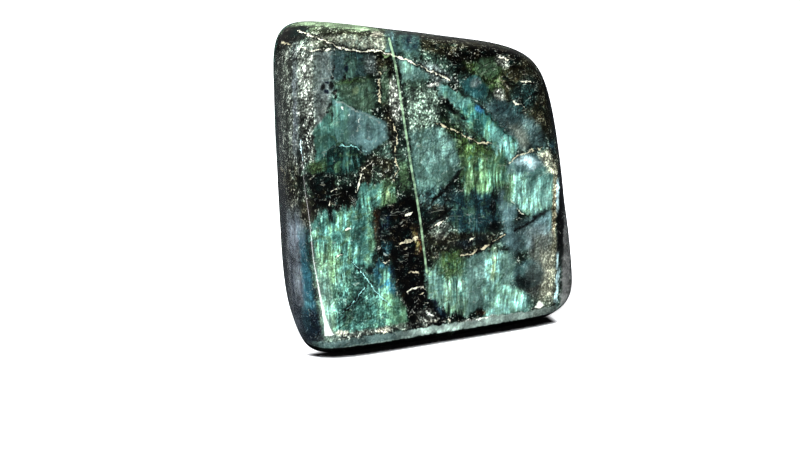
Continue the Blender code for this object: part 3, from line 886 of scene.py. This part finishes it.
def shard_sides(corners):
    """For each side of a shard, given by its corners clockwise, the weights of the distance beyond it."""
    sides = []
    for (a, b), (c, d) in zip(corners, corners[1:] + corners[:1]):
        length = float(np.hypot(c - a, d - b))
        out = ((b - d) / length, (c - a) / length)
        sides.append((*out, -(out[0] * a + out[1] * b)))
    while len(sides) < SHARD_SIDES:
        sides.append(sides[0])
    return sides


def vein_lines(points, half_width):
    """A vein's middle line and its half width, tapered at its ends, both as points along its run."""
    start, end = points[0][0], points[-1][0]
    steep = float(np.hypot(end - start, points[-1][1] - points[0][1])) / (end - start)
    taper = min(VEIN_TAPER, TAPER_SHARE * (end - start))
    width = half_width * steep
    full = ((start + taper, width), (end - taper, width))
    return points, ((start - VEIN_OVERRUN, VEIN_GONE), *full, (end + VEIN_OVERRUN, VEIN_GONE))


def sheet_place(bench):
    """A point's height, how far in it is, and its place across and up the slanted sheet, all in mm."""
    metres = bench.node("ShaderNodeTexCoord").outputs["Object"]
    spot = bench.vector("MULTIPLY_ADD", metres, (MM, MM, MM), (0.0, 0.0, 0.0))
    inward = bench.dot(spot, (0.0, 1.0, 0.0)) - SHEET_DEPTH
    height = bench.dot(spot, (0.0, 0.0, 1.0))
    across = bench.math("MULTIPLY_ADD", inward, -SLANT_ACROSS, bench.dot(spot, (1.0, 0.0, 0.0)))
    up = bench.math("MULTIPLY_ADD", inward, SLANT_UP, height)
    return SimpleNamespace(inward=inward, height=height, across=across, up=up)


def bent(bench, place):
    """The place across, up and inward as one vector, with slow bends of the whole pattern."""
    flat = bench.joined(place.across, place.up, place.inward)
    bend = bench.channels(bench.noise(bench.scaled(flat, BEND_RATE), *BEND_NOISE).outputs["Color"])
    across = bench.math("MULTIPLY_ADD", bend[0], BEND, place.across - BEND / 2)
    up = bench.math("MULTIPLY_ADD", bend[1], BEND, place.up - BEND / 2)
    return bench.joined(across, up, place.inward)


def textures(bench, spot):
    """What varies through the stone: the noises, the hairs, how far the nearest crack is, a number for each
    shard, three fine noises, and a colour for each deep crystal. The noises and the hairs vary about a half.
    """
    made = {}
    for name, (rates, detail, roughness) in NOISES.items():
        varied = bench.noise(bench.vector("MULTIPLY", spot, rates), detail, roughness)
        made[name] = Value(bench, varied.outputs["Fac"])
    climbing = bench.joined(bench.dot(spot, HAIR_CROSS), bench.dot(spot, HAIR_ALONG), HALF)
    made["hair"] = Value(bench, bench.noise(climbing, *HAIR_NOISE).outputs["Fac"])
    cleft = bench.cells(bench.vector("MULTIPLY", spot, CLEFT_RATES), "DISTANCE_TO_EDGE")
    made["cleft"] = Value(bench, cleft.outputs["Distance"])
    shards = bench.cells(bench.vector("MULTIPLY", spot, SHARD_RATES), "F1")
    made["shard"] = bench.channels(shards.outputs["Color"])[0]
    made["fine"] = bench.channels(bench.noise(bench.scaled(spot, FINE_RATE), *FINE_NOISE).outputs["Color"])
    made["crystals"] = bench.cells(bench.vector("MULTIPLY", spot, CRYSTAL_RATES), "F1").outputs["Color"]
    return SimpleNamespace(**made)


def drawing_place(bench, place, noise, wander):
    """The place on the drawing, with wandering edges, and 1 where a point is too deep in for the drawing."""
    over = bench.math("MULTIPLY_ADD", noise.fine[0], 2 * wander, place.across - wander)
    rise = bench.math("MULTIPLY_ADD", noise.fine[1], 2 * wander, place.up - wander)
    over = over + (noise.breaks - HALF) * EDGE_BREAKS
    rise = rise + (noise.grain - HALF) * EDGE_GRAIN
    reach = bench.fall(place.across, *RIGHT_SIDE) * (LEFT_REACH - RIGHT_REACH) + RIGHT_REACH
    ragged = place.inward + (noise.breaks - HALF) * REACH_RAGGED + (noise.broad - HALF) * REACH_RAGGED
    return over, rise, bench.step(ragged - reach, 0.0, 1.0)


def under_the_zones(bench, paint, noise, deep):
    """The colour and the markings of the clouded body and, deep in the stone, of crystals of their own."""
    first, second, third = bench.channels(noise.crystals)
    colour = bench.mix(bench.step(first, *SLATE_CRYSTALS), paint["slate_dark"], paint["slate_teal"])
    colour = bench.mix(bench.step(second, *TEAL_CRYSTALS), colour, paint["teal"])
    colour = bench.mix(bench.step(third, *MOSS_CRYSTALS), colour, paint["moss"])
    colour = bench.mix(bench.fall(third, *BLACK_CRYSTALS), colour, paint["black"])
    body = bench.mix(bench.step(noise.cloud, *PALE_CLOUDS), paint["body_dark"], paint["body_pale"])
    colour = bench.mix(deep, body, colour)
    streaks = bench.step(second, *STREAKED_CRYSTALS) * CRYSTAL_STREAKS
    grains = bench.fall(first, *GRAINED_CRYSTALS) * CRYSTAL_GRAINS + CRYSTAL_LEAST
    cracks = bench.fall(third, *CRACKED_CRYSTALS) * CRYSTAL_CRACKS + CRYSTAL_LEAST
    return colour, bench.mix(deep, BODY_CARRIES, bench.joined(streaks, grains, cracks))


def laid_zones(bench, paint, colour, markings, sheet, toothed):
    """The colour and the markings once every zone is laid over them, in order."""
    round_zone, slab_zone, shard_zone = patch_group(False), patch_group(True), shard_group()
    for name, shape, *form, strength, carried in ZONES:
        layer = {
            "Colour": colour,
            "Markings": markings,
            "Paint": paint[name],
            "Carried": carried,
            "Strength": strength,
            "Sheet": toothed if carried[0] > TOOTHED else sheet,
        }
        if shape == "shard":
            corners, fade = form
            sides = {f"Side {count + 1}": side for count, side in enumerate(shard_sides(corners))}
            made = bench.group(shard_zone, {**layer, **sides, "Fade": fade})
        else:
            middle, half, turn, fade = form
            along, beside = patch_sides(middle, half, turn)
            power = 1 if shape == "slab" else 2
            layer.update({"Along": along, "Beside": beside})
            layer.update({"Full": (1 - fade) ** power, "Bare": (1 + fade) ** power})
            made = bench.group(slab_zone if shape == "slab" else round_zone, layer)
        colour, markings = made.outputs["Colour"], made.outputs["Markings"]
    return colour, markings


def shifted_hues(bench, paint, colour, noise, streaks, dark):
    """Shifts the flash towards gold and teal, and the dark stone towards umber and deep teal."""
    tint = noise.fine[2]
    hue = tint + (noise.broad - HALF) * HUE_SWING
    colour = bench.mix(bench.step(hue, *GOLD_SHIFT) * streaks * GOLD_STRENGTH, colour, paint["gold_green"])
    colour = bench.mix(bench.fall(hue, *TEAL_SHIFT) * streaks * TEAL_STRENGTH, colour, paint["teal"])
    colour = bench.mix(bench.step(tint, *UMBER_SHIFT) * dark * DARK_STRENGTH, colour, paint["umber"])
    return bench.mix(bench.fall(tint, *DEEP_SHIFT) * dark * DARK_STRENGTH, colour, paint["deep_teal"])


def lit(bench, paint, colour, noise, streaks, grains, speckled, streak_strength):
    """Lightens and darkens: grain everywhere, shards of the crystal, and streaks and glints in the flash."""
    mottle = (noise.grain - HALF) * GRAIN_SWING + (noise.grit - HALF) * GRIT_SWING
    lines = (noise.streak - HALF) * STREAK_SWING + (noise.broad - HALF) * BROAD_SWING
    lines = lines * (bench.step(noise.cloud, *CLOUDED_STREAKS) * CLOUDED_GAIN + CLOUDED_LEAST)
    exposure = (
        mottle * (speckled + GRAIN_LEAST)
        + lines * (streaks * streak_strength + STREAK_LEAST)
        + (noise.shard - HALF) * SHARD_SWING
        - DIMMED
        - speckled * SPECKLED_DIMMED
    )
    clouding = (noise.cloud - HALF) * CLOUD_SWING
    clouding = clouding + (noise.breaks - HALF) * (grains * BREAK_SWING + BREAK_LEAST)
    colour = bench.scaled(colour, bench.math("EXPONENT", exposure + clouding))
    glint = bench.step(noise.streak + (noise.breaks - HALF) * GLINT_RAGGED, *GLINT) * streaks
    return bench.mix(glint * GLINT_STRENGTH, colour, paint["ice"])


def broken(bench, paint, colour, noise, cracks, dark):
    """Adds dark cracks and hairs, pale scratches in the dark stone, and short pale nicks."""
    crack = bench.fall(noise.cleft + (noise.grit - HALF) * CRACK_RAGGED, *CRACK) * cracks
    line = bench.fall(abs(noise.hair - HALF), *HAIR) * bench.step(noise.breaks, *HAIR_BREAKS)
    darkened = bench.math("MAXIMUM", crack, line * (cracks * HAIR_GAIN + HAIR_LEAST))
    colour = bench.scaled(colour, 1 - darkened * CRACK_STRENGTH)
    patchy = bench.step(noise.grain, *PATCHY)
    scratched = bench.fall(abs(noise.scratch - HALF), *SCRATCH) * bench.step(noise.breaks, *SCRATCH_BREAKS)
    colour = bench.mix(scratched * patchy * dark * SCRATCH_STRENGTH, colour, paint["cream"])
    nicks = bench.fall(abs(noise.scratch - NICK_LEVEL), *NICK) * bench.step(noise.grain, *NICK_BREAKS)
    return bench.mix(nicks * NICK_STRENGTH, colour, paint["pewter"]), patchy


def flecked(bench, paint, colour, noise, speckled, dark, patchy, strength):
    """Adds silvery flakes where the stone is speckled, and white sparks."""
    loose = bench.step(speckled, *LOOSE) * (1 - dark * DARK_HOLDS)
    flake = bench.step(noise.flaking, *FLAKE) * loose * patchy
    colour = bench.mix(flake * strength, colour, paint["pewter"])
    spark = bench.step(noise.grit + (noise.grain - HALF) * SPARK_RAGGED, *SPARK)
    spark = spark * (loose * SPARK_GAIN + SPARK_LEAST)
    return bench.mix(spark * strength, colour, paint["white"])


def laid_vein(bench, vein, colour, run, off, points, half_width, given):
    """The colour with one more vein over it, along its run and so far off it."""
    line, widths = vein_lines(points, half_width)
    off = off - bench.curve(run, line)
    given = {**given, "Colour": colour, "Off": off, "Width": bench.curve(run, widths)}
    return bench.group(vein, given).outputs["Colour"]


def laid_veins(bench, paint, colour, noise, over, rise, place, seam_strength):
    """The colour with all the veins over it, and last the straight seam, which runs through the stone."""
    vein = vein_group()
    ragged = (noise.breaks - HALF) * VEIN_RAGGED + (noise.grit - HALF) * VEIN_RAGGED
    wear = bench.step(noise.breaks + (noise.grain - HALF) * WORN_RAGGED, *WORN) * WORN_GAIN + WORN_LEAST
    shared = {"Ragged": ragged, "Wear": wear}
    for way, name, half_width, strength, raggedness, border, points in VEINS:
        given = {**shared, "Paint": paint[name], "Strength": strength}
        given.update({"Raggedness": raggedness, "Border": border})
        if way == "across":
            colour = laid_vein(bench, vein, colour, over, rise, points, half_width, given)
        else:
            colour = laid_vein(bench, vein, colour, rise, over, turned(points), half_width, given)
    given = {**shared, "Paint": paint["seam_green"], "Strength": seam_strength}
    given.update({"Raggedness": SEAM_RAGGEDNESS, "Border": SEAM_BORDER})
    return laid_vein(bench, vein, colour, place.up, place.across, turned(SEAM), SEAM_HALF_WIDTH, given)


def turned(points):
    """Points across and up as points up and across."""
    return [(up, across) for across, up in points]


def labradorite(colours, finish):
    """The stone's material: crystals and zones, light and dark, cracks, flecks and veins, then the polish."""
    material, bench = new_material("labradorite_polish")
    paint = {name: tuple(getattr(colours, name)) for name in PALETTE}
    place = sheet_place(bench)
    noise = textures(bench, bent(bench, place))
    over, rise, deep = drawing_place(bench, place, noise, finish.wander * MM)
    teeth = (noise.streak - HALF) * TEETH_FINE + (noise.broad - HALF) * TEETH_BROAD
    colour, markings = under_the_zones(bench, paint, noise, deep)
    over = over + deep * ASIDE
    toothed = bench.joined(over, rise + teeth, 1.0)
    sheet = bench.joined(over, rise, 1.0)
    colour, markings = laid_zones(bench, paint, colour, markings, sheet, toothed)
    streaks, grains, cracks = bench.parts(markings)

    dark = bench.step(cracks, *DARK_STONE)
    colour = shifted_hues(bench, paint, colour, noise, streaks, dark)
    speckled = grains * grains
    colour = lit(bench, paint, colour, noise, streaks, grains, speckled, finish.streaks)
    colour, patchy = broken(bench, paint, colour, noise, cracks, dark)
    colour = flecked(bench, paint, colour, noise, speckled, dark, patchy, finish.sparks)
    colour = laid_veins(bench, paint, colour, noise, over, rise, place, finish.seam)
    colour = bench.scaled(bench.vector("POWER", colour, (DEEPENING, DEEPENING, DEEPENING)), finish.depth)

    # The polish stops above the foot, where a dull band is painted dark as a contact shadow
    rim = bench.step(place.height + (noise.grit - HALF) * FOOT_SHADOW_RAGGED, *FOOT_SHADOW_EDGE)
    colour = bench.scaled(colour, bench.math("MULTIPLY_ADD", rim, 1 - FOOT_SHADOW_BRIGHTNESS, FOOT_SHADOW_BRIGHTNESS))
    roughness = bench.math("MULTIPLY_ADD", rim, finish.roughness - FOOT_BAND_ROUGHNESS, FOOT_BAND_ROUGHNESS)
    cracked = bench.step(noise.cleft, *RELIEF)
    felt = {"Strength": RELIEF_STRENGTH, "Distance": RELIEF_HEIGHT, "Height": cracked}
    relief = bench.node("ShaderNodeBump", None, felt)
    surface = {
        "Base Color": colour,
        "Roughness": roughness,
        "Metallic": 0.0,
        "Specular IOR Level": SPECULAR,
        "Coat Weight": rim * COAT_WEIGHT,
        "Coat Roughness": finish.coat_roughness,
        "Normal": relief.outputs[0],
    }
    shader = bench.node("ShaderNodeBsdfPrincipled", None, surface)
    bench.node("ShaderNodeOutputMaterial", None, {"Surface": shader.outputs[0]})
    return material


def colour_property(name):
    return bpy.props.FloatVectorProperty(
        name=name.replace("_", " ").capitalize(),
        description="Colour of the " + name.replace("_", " ") + " parts of the stone",
        subtype="COLOR",
        size=3,
        min=0.0,
        max=1.0,
        default=linear(*PALETTE[name]),
    )


class StoneColours(bpy.types.PropertyGroup):
    """The colours in the stone."""

    __annotations__ = {name: colour_property(name) for name in PALETTE}


class StoneFinish(bpy.types.PropertyGroup):
    """The polish and the strength of the markings."""

    wave_height: bpy.props.FloatProperty(
        name="Wave height", description="Height of the hand-polished waves", default=0.00012, unit="LENGTH"
    )
    wander: bpy.props.FloatProperty(
        name="Wander", description="How far zone and vein edges wander", default=0.0009, unit="LENGTH"
    )
    streaks: bpy.props.FloatProperty(
        name="Streaks", description="Strength of the streaks in the flash", default=0.75, subtype="FACTOR"
    )
    sparks: bpy.props.FloatProperty(
        name="Sparks", description="Strength of the pale sparks in the grain", default=0.7, subtype="FACTOR"
    )
    depth: bpy.props.FloatProperty(
        name="Depth", description="Brightness of the colours once they are deepened", default=1.92, min=0.0
    )
    seam: bpy.props.FloatProperty(
        name="Seam", description="Strength of the straight pale seam", default=0.75, subtype="FACTOR"
    )
    roughness: bpy.props.FloatProperty(
        name="Roughness", description="Roughness of the polished skin", default=0.22, subtype="FACTOR"
    )
    coat_roughness: bpy.props.FloatProperty(
        name="Wax roughness", description="Roughness of the wax on the polish", default=0.03, subtype="FACTOR"
    )


class StudioSettings(bpy.types.PropertyGroup):
    """The floor, light and camera."""

    floor_half: bpy.props.FloatProperty(
        name="Floor half width", description="Half the floor's width", default=4.0, unit="LENGTH"
    )
    floor_colour: bpy.props.FloatVectorProperty(
        name="Floor colour", description="Colour of the floor", subtype="COLOR", default=(0.86, 0.88, 0.92)
    )
    key_power: bpy.props.FloatProperty(
        name="Key power", description="Power of the key light", default=16.5, unit="POWER"
    )
    top_power: bpy.props.FloatProperty(
        name="Top power", description="Power of the light above the stone", default=7.0, unit="POWER"
    )
    ambient: bpy.props.FloatProperty(
        name="Ambient", description="Strength of the light from all round", default=0.27, min=0.0
    )
    lens: bpy.props.FloatProperty(
        name="Lens", description="Focal length of the camera", default=50.0, min=1.0, unit="CAMERA"
    )


class LABRADORITE_OT_stone(bpy.types.Operator):
    """Grind and polish the stone, and colour it"""

    bl_idname = "labradorite.stone"
    bl_label = "Polished stone"

    def execute(self, context):
        finish = context.scene.labradorite_finish
        stone = bpy.data.objects.new("polished_stone", stone_mesh(finish.wave_height))
        context.scene.collection.objects.link(stone)
        stone.data.materials.append(labradorite(context.scene.labradorite_colours, finish))
        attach(stone, BODY)
        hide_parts(STONE_NODE)
        return {"FINISHED"}


def studio_camera(scene, lens):
    data = bpy.data.cameras.new("studio_camera")
    data.lens = lens
    data.sensor_width = SENSOR_WIDTH
    data.clip_start = CAMERA_NEAR
    data.clip_end = CAMERA_FAR
    camera = bpy.data.objects.new("studio_camera", data)
    camera.location = CAMERA_PLACE
    camera.rotation_euler = (np.radians(90 - CAMERA_DIP), 0.0, np.radians(CAMERA_TURN))
    scene.collection.objects.link(camera)
    scene.camera = camera


def studio_floor(scene, settings):
    """A plain pale floor, dark where the polish mirrors it, with a contact shade along the foot's front."""
    half = settings.floor_half
    mesh = bpy.data.meshes.new("studio_floor")
    corners = [(-half, -half, 0), (half, -half, 0), (half, half, 0), (-half, half, 0)]
    mesh.from_pydata(corners, [], [(0, 1, 2, 3)])
    floor = bpy.data.objects.new("studio_floor", mesh)
    scene.collection.objects.link(floor)
    material, bench = new_material("studio_floor")
    path = bench.node("ShaderNodeLightPath")
    bright = bench.node("ShaderNodeBsdfDiffuse", None, {0: (*settings.floor_colour, 1.0)})
    glow = Value(bench, path.outputs["Is Camera Ray"]) * FLOOR_GLOW
    sheen = bench.node("ShaderNodeEmission", None, {"Strength": glow})
    bright = bench.node("ShaderNodeAddShader", None, {0: bright.outputs[0], 1: sheen.outputs[0]})
    dim = bench.node("ShaderNodeBsdfDiffuse", None, {0: (*FLOOR_MIRRORED, 1.0)})
    mirrored = path.outputs["Is Glossy Ray"]
    both = bench.node("ShaderNodeMixShader", None, {0: mirrored, 1: bright.outputs[0], 2: dim.outputs[0]})
    shelter = bench.node("ShaderNodeAmbientOcclusion", {"samples": 16}, {"Distance": CONTACT_REACH})
    place = bench.node("ShaderNodeTexCoord").outputs["Object"]
    front = bench.fall(bench.dot(place, (0.0, 1.0, 0.0)), *CONTACT_FRONT)
    left = bench.fall(bench.dot(place, (1.0, 0.0, 0.0)), *CONTACT_RIGHT)
    contact = bench.fall(Value(bench, shelter.outputs["AO"]), *CONTACT_SHELTER) * front * left
    dark = bench.node("ShaderNodeBsdfDiffuse", None, {0: (*CONTACT_COLOUR, 1.0)})
    both = bench.node("ShaderNodeMixShader", None, {0: contact, 1: both.outputs[0], 2: dark.outputs[0]})
    bench.node("ShaderNodeOutputMaterial", None, {"Surface": both.outputs[0]})
    mesh.materials.append(material)


def studio_world(scene, settings):
    """White all round for the camera, soft light for the stone, and a dim room and wall in the polish."""
    world = bpy.data.worlds.new("studio_world")
    world.use_nodes = True
    world.node_tree.nodes.clear()
    bench = Bench(world.node_tree)
    path = bench.node("ShaderNodeLightPath")
    glossy = Value(bench, path.outputs["Is Glossy Ray"])
    camera = Value(bench, path.outputs["Is Camera Ray"])
    aim = bench.node("ShaderNodeTexCoord").outputs["Generated"]
    wall = bench.step(bench.dot(aim, (0.0, 1.0, 0.0)), *WALL_SIDE)
    wall = wall * bench.step(bench.dot(aim, (0.0, 0.0, 1.0)), *WALL_RISE)
    strength = camera + (1 - camera) * (1 - glossy) * settings.ambient
    strength = strength + glossy * (wall * WALL_LIGHT + ROOM_LIGHT)
    light = bench.node("ShaderNodeBackground", None, {"Color": (1.0, 1.0, 1.0, 1.0), "Strength": strength})
    bench.node("ShaderNodeOutputWorld", None, {"Surface": light.outputs[0]})
    scene.world = world


def crease_card(scene):
    """A narrow bright card on the floor, seen only in the polish: the line of light along the left crease.

    It is a band along its middle line, its two edges set square to the line at every point.
    """
    middle = np.array(CARD_LINE)
    along = np.gradient(middle, axis=0)
    along /= np.linalg.norm(along, axis=1, keepdims=True)
    square = np.stack([-along[:, 1], along[:, 0]], axis=1) * np.array(CARD_HALF_WIDTHS)[:, None]
    edges = np.concatenate([middle - square, middle + square])
    places = np.column_stack([edges, np.full(len(edges), CARD_LIFT)])
    count = np.arange(len(middle) - 1)
    quads = np.stack([count, count + 1, count + 1 + len(middle), count + len(middle)], axis=1)
    mesh = bpy.data.meshes.new("crease_card")
    mesh.from_pydata(places, [], quads)
    card = bpy.data.objects.new("crease_card", mesh)
    scene.collection.objects.link(card)
    material, bench = new_material("crease_card")
    light = bench.node("ShaderNodeEmission", None, {"Strength": CARD_STRENGTH})
    bench.node("ShaderNodeOutputMaterial", None, {"Surface": light.outputs[0]})
    mesh.materials.append(material)
    card.visible_camera = False
    card.visible_diffuse = False
    card.visible_shadow = False


def area_light(scene, name, power, size, place):
    """A square lamp turned to face the stone, and not seen in its polish."""
    data = bpy.data.lights.new(name, "AREA")
    data.energy = power
    data.size = size
    lamp = bpy.data.objects.new(name, data)
    lamp.location = place
    lamp.rotation_euler = (Vector(LIGHT_TARGET) - Vector(place)).to_track_quat("-Z", "Y").to_euler()
    lamp.visible_glossy = False
    scene.collection.objects.link(lamp)


class LABRADORITE_OT_studio(bpy.types.Operator):
    """Set up the floor, the lights and the camera"""

    bl_idname = "labradorite.studio"
    bl_label = "Studio"

    def execute(self, context):
        scene = context.scene
        settings = scene.labradorite_studio
        studio_floor(scene, settings)
        crease_card(scene)
        studio_world(scene, settings)
        studio_camera(scene, settings.lens)
        scene.view_settings.view_transform = "Standard"
        area_light(scene, "key_light", settings.key_power, KEY_SIZE, KEY_PLACE)
        area_light(scene, "top_light", settings.top_power, TOP_SIZE, TOP_PLACE)
        return {"FINISHED"}


class LABRADORITE_PT_panel(bpy.types.Panel):
    """The stone's pieces, colours and finish, in the sidebar"""

    bl_idname = "LABRADORITE_PT_panel"
    bl_label = "Labradorite"
    bl_space_type = "VIEW_3D"
    bl_region_type = "UI"
    bl_category = "Labradorite"

    def draw(self, context):
        for kind in OPERATORS:
            self.layout.operator(kind.bl_idname)
        for name, kind in GROUPS.items():
            box = self.layout.box()
            for prop in kind.__annotations__:
                box.prop(getattr(context.scene, name), prop)


OPERATORS = (LABRADORITE_OT_stone, LABRADORITE_OT_studio)
GROUPS = {
    "labradorite_colours": StoneColours,
    "labradorite_finish": StoneFinish,
    "labradorite_studio": StudioSettings,
}


def register():
    for kind in (*GROUPS.values(), *OPERATORS, LABRADORITE_PT_panel):
        bpy.utils.register_class(kind)
    for name, kind in GROUPS.items():
        setattr(bpy.types.Scene, name, bpy.props.PointerProperty(type=kind))


def unregister():
    for name in GROUPS:
        delattr(bpy.types.Scene, name)
    for kind in (LABRADORITE_PT_panel, *OPERATORS, *GROUPS.values()):
        bpy.utils.unregister_class(kind)


def main():
    register()
    bpy.ops.labradorite.stone()
    bpy.ops.labradorite.studio()


if __name__ == "__main__":
    main()
